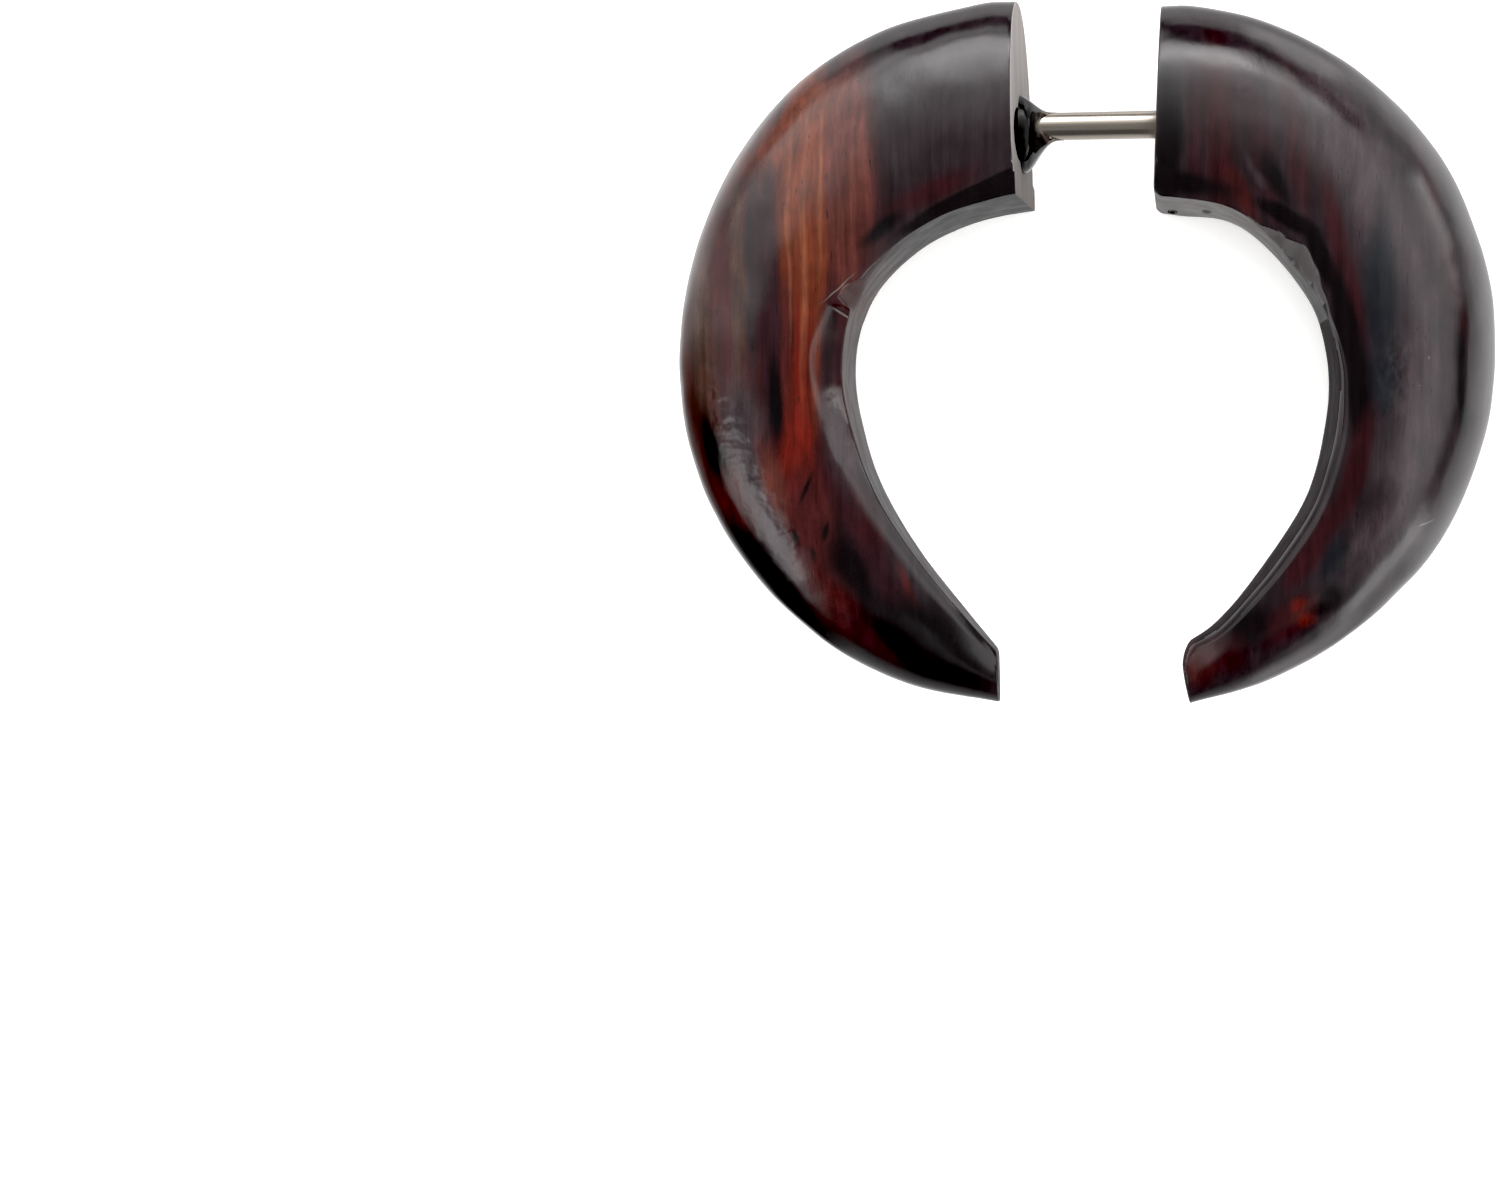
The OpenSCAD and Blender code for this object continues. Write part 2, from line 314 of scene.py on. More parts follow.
# Then windows and, below zero, dark places: azimuth, half width, softness, and brightness by
# elevation. They were set until the polish mirrored what it does in the photo.
GLOWS = [
    (90, 14, 10, [(19, 0), (25, 4.0), (36, 4.7), (46, 1.6), (56, 0)]),
    (79, 6, 7, [(26, 0), (32, 2.2), (38, 0.2), (40, 0)]),
    (102, 10, 8, [(38, 0), (44, 1.0), (50, 0.6), (56, 0)]),
    (63, 6, 8, [(24, 0), (31, 1.1), (37, 2.6), (43, 1.0), (52, 0)]),
    (80, 8, 8, [(38, 0), (43, -0.8), (52, -0.4), (58, 0)]),
    (104, 12, 8, [(8, 0), (14, 0.8), (19, 0.4), (24, 0)]),
    (113, 5, 5, [(22, 0), (27, 1.1), (33, 1.3), (39, 0.8), (46, 0)]),
    (128, 14, 8, [(8, 0), (13, 0.6), (18, 1.6), (26, 1.3), (34, 0.6), (42, 0)]),
    (64, 6, 7, [(-30, 0), (-12, 1.4), (0, 1.6), (7, 1.2), (13, 0)]),
    (26, 6, 7, [(8, 0), (14, 1.8), (21, 3.0), (27, 1.3), (33, 0.3), (40, 0)]),
    (79, 7, 7, [(-4, 0), (2, -1.5), (17, -1.5), (23, 0)]),
    (65, 3, 6, [(12, 0), (18, -1.2), (24, -0.8), (29, 0)]),
    (55, 4, 6, [(18, 0), (24, -1.2), (31, -1.8), (36, -0.4), (40, 0)]),
    (42, 24, 20, [(-4, 0), (4, -0.35), (15, -0.3), (21, 0)]),
    (356, 16, 16, [(6, 0), (11, -1.0), (22, -0.9), (30, 0)]),
    (100, 8, 6, [(-12, 0), (-6, -1.0), (0, -1.6), (6, -1.1), (11, 0)]),
    (113, 4, 9, [(-12, 0), (-5, -0.6), (1, -0.8), (7, -0.5), (12, 0)]),
    (144, 11, 9, [(-40, 0), (-14, -0.7), (-2, -0.9), (8, -0.5), (13, 0)]),
    (92, 30, 26, [(-80, 0), (-60, -0.4), (-38, -0.9), (-6, -0.9), (2, 0)]),
    (213, 12, 13, [(8, 0), (16, 2.1), (28, 3.2), (38, 2.7), (46, 1.0), (60, 0)]),
    (178, 9, 10, [(12, 0), (22, 0.8), (44, 0.8), (52, 0)]),
    (162, 8, 14, [(-50, 0), (-20, 0.7), (10, 0.7), (30, 0.4), (44, 0)]),
    (170, 30, 30, [(-88, 0.9), (-60, 0.8), (-45, 0.4), (-25, 0)]),
    (270, 26, 16, [(-80, 0), (-60, 0.9), (-20, 0.7), (-4, 0.5), (6, 0.12), (60, 0.12), (70, 0)]),
    (318, 8, 10, [(-30, 0), (-14, 0.3), (0, 1.2), (10, 3.1), (20, 3.2), (26, 0.6), (40, 0)]),
    (299, 8, 8, [(-44, 0), (-14, 1.4), (4, 1.2), (10, 0.6), (20, 0.6), (28, 0)]),
    (312, 10, 10, [(48, 0), (54, -0.7), (62, -0.8), (70, 0)]),
    (225, 70, 25, [(56, 0), (62, -0.5), (74, -0.6), (84, -0.35), (88, 0)]),
]
# Sines of the elevations between which the ceiling's haze comes in and the floor's light takes over
HAZE_IN = (0.7, 0.87)
FLOOR_OUT = (-0.94, -0.7)
# Brightness of the room where the camera looks past the floor
ROOM_SEEN = 0.95


def linear(hex_colour):
    """An sRGB hex colour as linear red, green and blue"""
    shares = [int(hex_colour[i:i + 2], 16) / 255 for i in (0, 2, 4)]
    return [s / 12.92 if s <= 0.04045 else ((s + 0.055) / 1.055) ** 2.4 for s in shares]


def colour_property(name, description, hex_colour):
    """A colour that the user may change, with its default as sRGB hex"""
    return FloatVectorProperty(name=name, description=description, subtype="COLOR", size=3,
                               min=0, max=1, default=linear(hex_colour))


def length_property(name, description, millimetres, low, high):
    """A length that the user may change, given in millimetres and kept in metres"""
    return FloatProperty(name=name, description=description, unit="LENGTH", precision=5,
                         min=low * MM, max=high * MM, default=millimetres * MM)


class HornSettings(bpy.types.PropertyGroup):
    """Sizes and colours of the two carved horns"""

    crown_at: FloatProperty(
        name="Crown", description="Where a section is thickest, as a share of its depth",
        min=0.1, max=0.4, default=0.24)
    roundness: FloatProperty(
        name="Roundness", description="How square the outer side is, where 2 is an ellipse",
        min=2, max=3, default=2.2)
    inner_share: FloatProperty(
        name="Inner face", description="Height of the inner face as a share of the thickness",
        min=0.8, max=0.99, default=0.95)
    spacing: length_property("Mesh spacing", "Distance between two rings of the mesh", 0.12, 0.1, 1)
    cut_bevel: length_property("Cut bevel", "Width of the worn edge round a saw cut", 0.07, 0.01, 0.2)
    tip_bevel: length_property("Tip bevel", "Width of the rounded edge at a tip", 0.09, 0.01, 0.2)
    waviness: length_property("Waviness", "Height of the long waves that carving leaves", 0.06, 0, 0.2)
    dents: length_property("Dents", "Height of the shorter waves between them", 0.024, 0, 0.1)
    tool_marks: length_property("Tool marks", "Depth of the small facets that filing leaves", 0.006, 0, 0.05)
    chatter: length_property("Chatter", "Depth of the ripples where the tool chattered", 0.022, 0, 0.05)
    left_hole_room: length_property(
        "Glued hole room", "Room round the wire in the left horn", 0.02, 0.01, 0.1)
    right_hole_room: length_property(
        "Sliding hole room", "Room round the wire in the right horn", 0.05, 0.02, 0.1)
    black: colour_property("Black wood", "Darkest wood", "070405")
    plum: colour_property("Plum", "Near black wood with a purple cast", "1c0c10")
    slate: colour_property("Slate", "Near black wood with a blue cast", "0f1014")
    purple: colour_property("Purple wood", "Grey purple wood between the streaks", "1a1316")
    # Pale purple wood, which on the right horn's lower outer side is also a painted sheen
    mauve_and_sheen: colour_property("Mauve", "Palest purple bands", "292023")
    amber: colour_property("Amber", "Pale hairlines in the orange stripe", "5a3120")
    orange: colour_property("Orange", "Brightest stripe of the left horn", "4a2012")
    russet: colour_property("Russet", "Red brown beside the orange stripe", "42201b")
    umber: colour_property("Umber", "Brown of the left horn's outer side", "32221d")
    ember: colour_property("Ember", "Clear deep red", "440e08")
    maroon: colour_property("Maroon", "Deep red streaks", "2c0e0e")
    wine: colour_property("Wine", "Darkest red streaks", "1f090c")
    scuff: colour_property("Scuff", "Pale scratches and specks in the polish", "4a4744")
    glue: colour_property("Glue", "Black glue smeared over the left saw cut", "0a0909")
    # Dry grey dust, which on the sawn faces is also a painted sheen
    dust: colour_property("Dust", "Dry grey of faces that were filed or sawn and never polished", "a5a09e")


class PostSettings(bpy.types.PropertyGroup):
    """Size and colour of the steel post"""

    chamfer: length_property("Chamfer", "Chamfer on both ends of the wire", 0.2, 0.05, 0.3)
    sides: IntProperty(name="Sides", description="Faces round the wire", min=16, max=128, default=64)
    steel: colour_property("Steel", "Colour of the drawn wire", "cdc4b8")


class GlueSettings(bpy.types.PropertyGroup):
    """Size and colour of the glue where the post leaves the left horn"""

    top_reach: length_property(
        "Reach above", "How far the glue spreads over the cut above the wire", 1.42, 0.8, 2)
    drip_reach: length_property(
        "Reach below", "How far the hanging run spreads below the wire", 2.0, 0.8, 2.2)
    top_creep: length_property(
        "Creep above", "How far the glue creeps along the top of the wire", 1.5, 0.5, 2)
    drip_creep: length_property(
        "Creep below", "How far the glue creeps along the underside", 1.8, 0.5, 2.2)
    bead_creep: length_property(
        "Bead", "How far the round bead over the wire reaches along it", 0.8, 0.3, 1.5)
    hollow: FloatProperty(
        name="Hollow", description="How hollow the glue's side is, where 1 is a plain cone",
        min=1, max=3, default=2.5)
    belly: FloatProperty(
        name="Belly", description="How far the hanging run bulges before it thins",
        min=0, max=2, default=1.0)
    resin: colour_property("Resin", "Colour of the cured glue", "0a0909")
    film: colour_property("Film", "Steel seen through the glue where it is thin", "6a625b")


class StageSettings(bpy.types.PropertyGroup):
    """Floor, light and camera"""

    floor: colour_property("Floor", "Colour of the pale floor", "fcfcfa")
    glow: FloatProperty(
        name="Floor glow", description="Light that comes up through the card, as on a light table",
        min=0, max=1, default=0.18)
    overhead: FloatProperty(
        name="Overhead", description="Power of the large soft lamp overhead",
        unit="POWER", min=0, max=20, default=3.5)
    room: FloatProperty(
        name="Room", description="Strength of the light of the room", min=0, max=4, default=1.0)
    haze: FloatProperty(
        name="Haze", description="Brightness of the ceiling's darkest part", min=0, max=1, default=0.3)
    black_point: FloatProperty(
        name="Black point", description="Light too faint for the picture to show",
        min=0, max=0.05, default=0.012)
    camera_height: length_property("Camera height", "Height of the camera over the floor", 125, 60, 400)
    lens: FloatProperty(
        name="Lens", description="Focal length on a 36 mm sensor",
        unit="CAMERA", min=20, max=200, default=66.38)


def blend(a, b, c, d, t):
    """Smooth value between b and c at share t, with a before them and d after"""
    return b + 0.5 * t * (c - a + t * (2 * a - 5 * b + 4 * c - d + t * (3 * b - a - 3 * c + d)))


def row_at(rows, place):
    """One row of a table at a fractional place"""
    last = len(rows) - 1
    i = min(int(place), last - 1)
    before = rows[i - 1] if i > 0 else [2 * p - q for p, q in zip(rows[0], rows[1])]
    after = rows[i + 2] if i + 2 <= last else [2 * p - q for p, q in zip(rows[last], rows[last - 1])]
    return [blend(*column, place - i) for column in zip(before, rows[i], rows[i + 1], after)]


def ends_of(row):
    """The inner and outer points of a row, in metres, at the middle of the thickness"""
    inner = Vector((row[2] * MM, row[3] * MM, MID_Z))
    outer = Vector((row[0] * MM, row[1] * MM, MID_Z))
    return inner, outer


def middle_of(rows, place):
    """The middle of the section at a fractional place"""
    inner, outer = ends_of(row_at(rows, place))
    return (inner + outer) / 2


def place_of_cut(rows, cut_x):
    """The fractional place whose section straddles the saw cut"""
    low, high = 0.0, 2.0
    outward = 1 if middle_of(rows, high).x > middle_of(rows, low).x else -1
    for _ in range(40):
        half = (low + high) / 2
        if (middle_of(rows, half).x - cut_x) * outward > 0:
            high = half
        else:
            low = half
    return half


def ease(t):
    """Smooth step from 0 to 1"""
    t = max(0.0, min(1.0, t))
    return t * t * (3 - 2 * t)


def along(table, place):
    """The value at a fractional place in a table of places and values"""
    for (start, before), (end, after) in zip(table, table[1:]):
        if place <= end:
            return before + (after - before) * ease((place - start) / (end - start))
    return table[-1][1]


def ring_places(rows, start, spacing):
    """Places from the cut to the tip, evenly spaced along the middle of the horn"""
    fine = 3000
    samples = [start + (len(rows) - 1 - start) * k / fine for k in range(fine + 1)]
    middles = [middle_of(rows, u) for u in samples]
    run = [0.0]
    for a, b in zip(middles, middles[1:]):
        run.append(run[-1] + (b - a).length)
    count = round(run[-1] / spacing)
    places, i = [], 0
    for k in range(count + 1):
        while i < fine and run[i] < run[-1] * k / count:
            i += 1
        places.append(samples[i])
    return places


def half_section(depth, half_t, drop, bevel, fall, rounding, pared, paring_slope, s):
    """Upper half of a section as across and height, from the inner face's middle to the outer side"""
    crown = s.crown_at * depth
    bevel = min(bevel, 0.8 * crown - pared)
    rounding = min(rounding, 0.4 * crown)
    ridge = pared + bevel

    def dome(w):
        return half_t * (1 - drop * (1 - w / crown) ** 2)

    def top(w):
        return min(dome(w), dome(ridge) - fall * (ridge - w))

    corner = top(pared)
    foot = corner - paring_slope * pared

    def face(h):
        return pared * max(0.0, (h - foot) / max(corner - foot, 1e-9))

    wall_top = corner - rounding
    wall = [(face(wall_top * t), wall_top * t) for t in WALL_SHARES]
    bend_end = pared + rounding
    bend = []
    for k in range(1, CORNER_STEPS + 1):
        t = k / CORNER_STEPS
        a, b, c = (1 - t) ** 2, 2 * t * (1 - t), t ** 2
        bend.append((a * wall[-1][0] + b * pared + c * bend_end,
                     a * wall_top + b * corner + c * top(bend_end)))
    last = max(ridge, bend_end + 0.1 * crown)
    slope = [bend_end + (last - bend_end) * k / BEVEL_STEPS for k in range(1, BEVEL_STEPS + 1)]
    front = [last + (crown - last) * k / CROWN_STEPS for k in range(1, CROWN_STEPS)]
    points = wall + bend + [(w, top(w)) for w in slope + front]
    # The ridge between bevel and dome is eased twice
    ridge_start = len(wall) + len(bend) + 2
    for _ in range(2):
        near = range(ridge_start, ridge_start + 6)
        eased = {i: tuple((points[i - 1][j] + 2 * points[i][j] + points[i + 1][j]) / 4 for j in (0, 1))
                 for i in near}
        for i, point in eased.items():
            points[i] = point
    power = 2 / s.roundness
    for k in range(SIDE_STEPS + 1):
        a = math.pi / 2 * (1 - k / SIDE_STEPS)
        reach = abs(math.cos(a)) ** power if k else 0.0
        points.append((crown + (depth - crown) * reach, half_t * math.sin(a) ** power))
    return points


def section(horn, place, recess, s):
    """All points of a section in metres, stood up between its inner and outer points"""
    row = row_at(horn.rows, place)
    inner, outer = ends_of(row)
    across = outer - inner
    depth = across.length
    thick = min(row[4], 1)
    half_t = MID_Z * thick
    drop = (1 - s.inner_share) * thick
    tables = horn.bevel, horn.rounding, horn.paring, horn.back_at_top, horn.back_at_bottom
    bevel, rounding, pared, top_back, bottom_back = [along(table, place) * MM for table in tables]
    fall = along(horn.fall, place)
    upper = half_section(depth, half_t, drop, bevel, fall, rounding, pared, horn.paring_slope, s)
    lower = half_section(depth, half_t, drop, LOWER_BEVEL * bevel, fall, rounding, 0.0, horn.paring_slope, s)
    lower = [(w, -h) for w, h in reversed(lower[1:-1])]
    across.normalize()
    points = []
    for w, h in upper + lower:
        back = (top_back if h > 0 else bottom_back) * (h / half_t) ** 2
        shift = back * max(0.0, 1 - w / (BACK_DEPTH * depth))
        shift += recess * max(0.0, 1 - w / (ROUND_OFF_DEPTH * depth))
        points.append(inner + across * (w + shift) + Vector((0, 0, h)))
    return points


def turned_off(distance, radius):
    """How far a rounded corner recedes at a distance from the end"""
    short = max(0.0, radius - distance)
    return radius - math.sqrt(radius ** 2 - short ** 2)


def on_cut(point, horn):
    """The point slid along X onto a horn's leaning saw cut"""
    over, up = point.y - POST_AXIS.y, point.z - POST_AXIS.z
    x = horn.cut_x - over * math.tan(horn.cut_turn) - up * math.tan(horn.cut_lean)
    return Vector((x, point.y, point.z))


def add_ring(bm, points):
    """A closed ring of the mesh through the points"""
    verts = bmesh.ops.create_circle(bm, segments=len(points), radius=MM)["verts"]
    for vert, point in zip(verts, points):
        vert.co = point
    return verts


def ring_edges(verts):
    """The edges of a ring"""
    pairs = zip(verts, verts[1:] + verts[:1])
    return [next(e for e in a.link_edges if e.other_vert(a) is b) for a, b in pairs]


def swept_horn(horn, s):
    """A whole horn from its saw cut to its blunt tip"""
    bm = bmesh.new()
    places = ring_places(horn.rows, place_of_cut(horn.rows, horn.cut_x), s.spacing)
    # The rounding of the ends begins this share of the spacing beyond the end rings
    beyond = 0.3
    last = None
    for i, place in enumerate(places):
        recess = sum(turned_off((step + beyond) * s.spacing, radius * MM)
                     for step, radius in zip((i, len(places) - 1 - i), horn.ends))
        points = section(horn, place, recess, s)
        away = abs(middle_of(horn.rows, place).x - horn.cut_x)
        share = 1 - ease(away / CUT_FADE) if place < CUT_ROWS else 0
        if share > 0:
            points = [p.lerp(p + on_cut(p, horn) - Vector((horn.cut_x, p.y, p.z)), share) for p in points]
        if last is None:
            points = [on_cut(p, horn) for p in points]
        edges = ring_edges(add_ring(bm, points))
        if last is None:
            first = edges
        else:
            bmesh.ops.bridge_loops(bm, edges=last + edges)
        last = edges
    caps = []
    for edges, width in ((first, s.cut_bevel), (last, s.tip_bevel)):
        caps.append((bmesh.ops.contextual_create(bm, geom=edges)["faces"][0], width))
    bmesh.ops.recalc_face_normals(bm, faces=bm.faces)
    for cap, width in caps:
        bmesh.ops.bevel(bm, geom=list(cap.edges), offset=width, segments=3, profile=0.5,
                        affect="EDGES", material=-1)
    return bm


def weather(bm, horn, s):
    """Leaves the waves, dents and tool marks of hand carving on the sides, and none on the saw cut"""
    bm.normal_update()
    marks = [(WAVE_LENGTH, s.waviness), (DENT_LENGTH, s.dents), (MARK_LENGTH, s.tool_marks)]
    seed = horn.carving_seed
    shift = Vector((seed, seed * 0.7, -seed))
    patches = []
    for x, y, half_width, half_length, lean in horn.chatter:
        turned = Matrix.Rotation(math.radians(-lean), 3, "Z")
        patches.append((Vector((x, y, 0)) * MM, turned, half_width * MM, half_length * MM))
    # The wood stays plain this near the cut, and the marks come in over this length. A patch of
    # chatter ends at this share of its size, and fades out over this share.
    still, fade, patch_end, patch_fade = 0.3 * MM, 1.2 * MM, 1.3, 0.6
    for vert in bm.verts:
        hold = ease((abs(vert.co.x - horn.cut_x) - still) / fade)
        height = sum(noise.noise(vert.co / length + shift) * depth for length, depth in marks)
        for middle, turned, half_width, half_length in patches:
            local = turned @ (vert.co - middle)
            away = math.hypot(local.x / half_width, local.y / half_length)
            if away < patch_end:
                place = local.x / RIPPLE[0], local.y / RIPPLE[1], vert.co.z / RIPPLE[2]
                height += noise.noise(Vector(place) / MM) * s.chatter * ease((patch_end - away) / patch_fade)
        vert.co += vert.normal * height * hold


def as_object(name, bm):
    """A new object in the scene, from a bmesh that is then freed"""
    mesh = bpy.data.meshes.new(name)
    bm.to_mesh(mesh)
    bm.free()
    obj = bpy.data.objects.new(name, mesh)
    bpy.context.scene.collection.objects.link(obj)
    return obj


def shade(obj, degrees):
    """Smooth shading, broken at edges sharper than the angle"""
    obj.data.shade_smooth()
    obj.data.set_sharp_from_angle(angle=math.radians(degrees))


def wire_shape(bm, x0, x1, radius, sides):
    """A cylinder round the post's axis, between two places along X"""
    middle = Matrix.Translation(POST_AXIS + Vector(((x0 + x1) / 2, 0, 0)))
    bmesh.ops.create_cone(bm, cap_ends=True, segments=sides, radius1=radius, radius2=radius,
                          depth=x1 - x0, matrix=middle @ Matrix.Rotation(math.pi / 2, 4, "Y"))


def bored(obj, x0, x1, radius, pits):
    """The object with the post's hole, and small pits, cut out of it"""
    bm = bmesh.new()
    wire_shape(bm, x0, x1, radius, 64)
    for centre, size in pits:
        place = Matrix.Translation(centre) @ Matrix.Diagonal((*size, 1))
        bmesh.ops.create_icosphere(bm, subdivisions=2, radius=1, matrix=place)
    cutter = as_object("cutter", bm)
    boolean = obj.modifiers.new("bore", "BOOLEAN")
    boolean.operation, boolean.solver, boolean.object = "DIFFERENCE", "EXACT", cutter
    whole = obj.data
    obj.data = bpy.data.meshes.new_from_object(obj.evaluated_get(bpy.context.evaluated_depsgraph_get()))
    obj.modifiers.clear()
    obj.data.name = obj.name
    bpy.data.meshes.remove(whole)
    bpy.data.objects.remove(cutter)
    return obj


def add_node(tree, kind, inputs=None, output=0, stops=(), **settings):
    """Adds a node, sets its properties, colour stops and inputs, and returns one of its outputs"""
    node = tree.nodes.new("ShaderNode" + kind)
    for key, value in settings.items():
        setattr(node, key, value)
    for i, (place, colour) in enumerate(stops):
        elements = node.color_ramp.elements
        element = elements[i] if i < 2 else elements.new(place)
        element.position, element.color = place, (*colour, 1)
    for key, value in (inputs or {}).items():
        if isinstance(value, bpy.types.NodeSocket):
            tree.links.new(value, node.inputs[key])
        else:
            node.inputs[key].default_value = value
    return node.outputs[output]


def new_material(name, settings):
    """A material with a Principled shader and no other settings than those given"""
    material = bpy.data.materials.new(name)
    material.use_nodes = True
    shader = material.node_tree.nodes["Principled BSDF"]
    for key, value in settings.items():
        shader.inputs[key].default_value = value
    return material, material.node_tree, shader


def in_millimetres(tree):
    """Object coordinates in millimetres"""
    place = add_node(tree, "TexCoord", output="Object")
    return add_node(tree, "VectorMath", {0: place, "Scale": 1 / MM}, operation="SCALE")


def streaks(tree, coordinates, per_mm, detail, seed):
    """Noise drawn out along the grain; per_mm is its fineness across, along and through"""
    mapped = add_node(tree, "Mapping", {"Vector": coordinates, "Location": (seed, seed, 0), "Scale": per_mm})
    return add_node(tree, "TexNoise", {"Vector": mapped, "Scale": 1.0, "Detail": detail, "Roughness": 0.6})


def bent_grain(tree, millimetres, seed):
    """Coordinates shifted sideways a little, so that the figure wanders as grown wood does"""
    lazy_width, brisk_width = 0.8, 0.45
    lazy = streaks(tree, millimetres, (0.25, 0.10, 0.16), 1.0, seed)
    brisk = streaks(tree, millimetres, (0.9, 0.18, 0.6), 2.0, seed + 5)
    shift = add_node(tree, "Math", {0: lazy, 1: lazy_width, 2: -lazy_width / 2}, operation="MULTIPLY_ADD")
    shift = add_node(tree, "Math", {0: brisk, 1: brisk_width, 2: shift}, operation="MULTIPLY_ADD")
    shift = add_node(tree, "Math", {0: shift, 1: brisk_width / 2}, operation="SUBTRACT")
    sideways = add_node(tree, "CombineXYZ", {"X": shift})
    return add_node(tree, "VectorMath", {0: millimetres, 1: sideways}, operation="ADD")


def within(tree, coordinates, x, y, half_width, half_length, lean, soft):
    """1 inside a leaning ellipse and 0 outside, with a soft edge"""
    local = add_node(tree, "Mapping", {
        "Vector": coordinates, "Location": (x, y, 0), "Rotation": (0, 0, math.radians(lean)),
        "Scale": (half_width, half_length, 1000)}, vector_type="TEXTURE")
    away = add_node(tree, "VectorMath", {0: local}, "Value", operation="LENGTH")
    return add_node(tree, "MapRange", {0: away, 1: 1 - soft, 2: 1 + soft, 3: 1, 4: 0}, **SMOOTH)


def striped_ebony(finish, horn, s):
    """Striped ebony with one of its finishes: streaks along Y, hairline grain and short dark pores"""
    (least, most), specular, given_dust_and_sheen = FINISHES[finish]
    share, none, full = given_dust_and_sheen or horn.dust
    seed = horn.grain_seed
    material, tree, shader = new_material(
        f"{finish}_{horn.wood}", {"IOR": 1.5, "Specular IOR Level": specular})
    millimetres = in_millimetres(tree)
    bent = bent_grain(tree, millimetres, seed)
    colour = (*s.purple, 1)
    for *place, name in horn.figure:
        streak = (*getattr(s, name), 1)
        inside = within(tree, bent, *place)
        colour = add_node(tree, "Mix", {0: inside, 6: colour, 7: streak}, 2, data_type="RGBA")
    # The bands are about 0.4 mm wide and the hairs 0.12 mm. Real fibres are a sixth of that or less,
    # too fine to show, so the hairs stand for bundles of them.
    bands = streaks(tree, bent, (2.6, 0.1, 1.4), 3.0, seed + 3)
    hairs = streaks(tree, bent, (8.0, 0.35, 6.0), 2.0, seed + 9)
    clouds = streaks(tree, bent, (1.3, 0.7, 1.3), 3.0, seed + 13)
    for pattern, contrast in ((bands, 0.28), (hairs, 0.1), (clouds, 0.2)):
        low, high = 1 - contrast, 1 + contrast
        tone = add_node(tree, "MapRange", {0: pattern, **NOISE, 3: low, 4: high}, **SMOOTH)
        colour = add_node(tree, "VectorMath", {0: colour, "Scale": tone}, operation="SCALE")
    # Pores about 0.09 mm wide and 1 mm long, as in the real wood
    pores = streaks(tree, bent, (11.0, 0.9, 8.0), 1.0, seed + 17)
    pores = add_node(tree, "MapRange", {0: pores, 1: 0.68, 2: 0.78, 3: 0, 4: 0.8}, **SMOOTH)
    colour = add_node(tree, "Mix", {0: pores, 6: colour, 7: (*s.black, 1)}, 2, data_type="RGBA")
    # Dust lies a little unevenly, along the bands; on the sawn faces it is also a painted sheen
    y = add_node(tree, "SeparateXYZ", {0: millimetres}, "Y")
    dust_and_sheen_share = add_node(tree, "MapRange", {0: y, 1: none, 2: full, 3: 0, 4: share}, **SMOOTH)
    uneven = add_node(tree, "MapRange", {0: bands, **NOISE, 3: 0.9, 4: 1.06}, **SMOOTH)
    dust_and_sheen_share = add_node(tree, "Math", {0: dust_and_sheen_share, 1: uneven}, operation="MULTIPLY")
    colour = add_node(tree, "Mix", {0: dust_and_sheen_share, 6: colour, 7: (*s.dust, 1)}, 2, data_type="RGBA")
    tree.links.new(colour, shader.inputs["Base Color"])
    # Handling dulls the surface in patches of a millimetre or two
    handled = streaks(tree, millimetres, (0.8, 0.5, 0.8), 3.0, seed + 31)
    dull = add_node(tree, "MapRange", {0: handled, **NOISE, 3: least, 4: most}, **SMOOTH)
    tree.links.new(dull, shader.inputs["Roughness"])
    # Hairs, pores and specks left in the polish, a few thousandths of a millimetre deep
    specks = streaks(tree, bent, (3.2, 2.0, 3.2), 2.0, seed + 23)
    relief = add_node(tree, "Math", {0: hairs, 1: pores}, operation="SUBTRACT")
    relief = add_node(tree, "Math", {0: specks, 1: 2.0, 2: relief}, operation="MULTIPLY_ADD")
    bump = add_node(tree, "Bump", {"Height": relief, "Strength": 0.15, "Distance": 0.01 * MM})
    # The finest ripples where the tool chattered, 0.4 mm apart
    ripples = add_node(tree, "TexNoise", {"Vector": millimetres, "Scale": 2.3, "Detail": 1.0})
    for place in horn.chatter:
        inside = within(tree, millimetres, *place, 0.3)
        hit = add_node(tree, "Math", {0: ripples, 1: inside}, operation="MULTIPLY")
        bump = add_node(tree, "Bump", {"Height": hit, "Normal": bump, "Strength": 0.4, "Distance": 0.07 * MM})
    tree.links.new(bump, shader.inputs["Normal"])
    return material


def smear(material, s):
    """Black glue smeared over the sawn wood above the post, where it soaks in and stays matt"""
    tree = material.node_tree
    colour = tree.nodes["Principled BSDF"].inputs["Base Color"]
    wood = colour.links[0].from_socket
    local = add_node(tree, "Mapping", {
        "Vector": in_millimetres(tree), "Location": SMEAR_MIDDLE, "Scale": SMEAR_HALF}, vector_type="TEXTURE")
    away = add_node(tree, "VectorMath", {0: local}, "Value", operation="LENGTH")
    inside = add_node(tree, "MapRange", {0: away, 1: 0.95, 2: 1.02, 3: 1, 4: 0}, **SMOOTH)
    smeared = add_node(tree, "Mix", {0: inside, 6: wood, 7: (*s.glue, 1)}, 2, data_type="RGBA")
    tree.links.new(smeared, colour)


def finish_horn(obj, horn, s):
    """Gives a horn its polished, filed, sawn, dark matt and rubbed faces"""
    for finish in FINISHES:
        obj.data.materials.append(striped_ebony(finish, horn, s))
    _, filed, sawn, dark_matt, rubbed = range(len(FINISHES))
    # What looks at the middle of the hollow is the inner face or one of its edges, told apart by how
    # far the normal rises or falls
    hollow = Vector((0, -2 * MM, MID_Z))
    upright, filed_rise, rubbed_rise = 0.3, 0.6, 0.75
    for face in obj.data.polygons:
        rise, y = face.normal.z, face.center.y / MM
        by_cut = abs(face.center.x - horn.cut_x) < 0.5 * MM and y > 0
        if by_cut and abs(face.normal.x) > horn.sawn_edge:
            face.material_index = sawn
        elif face.normal.dot(hollow - face.center) > 0:
            if abs(rise) < upright:
                face.material_index = dark_matt if y < horn.dust[1] else filed
            elif 0 < rise < rubbed_rise and y < horn.rubbed_to:
                face.material_index = rubbed
            elif abs(rise) < filed_rise:
                face.material_index = filed


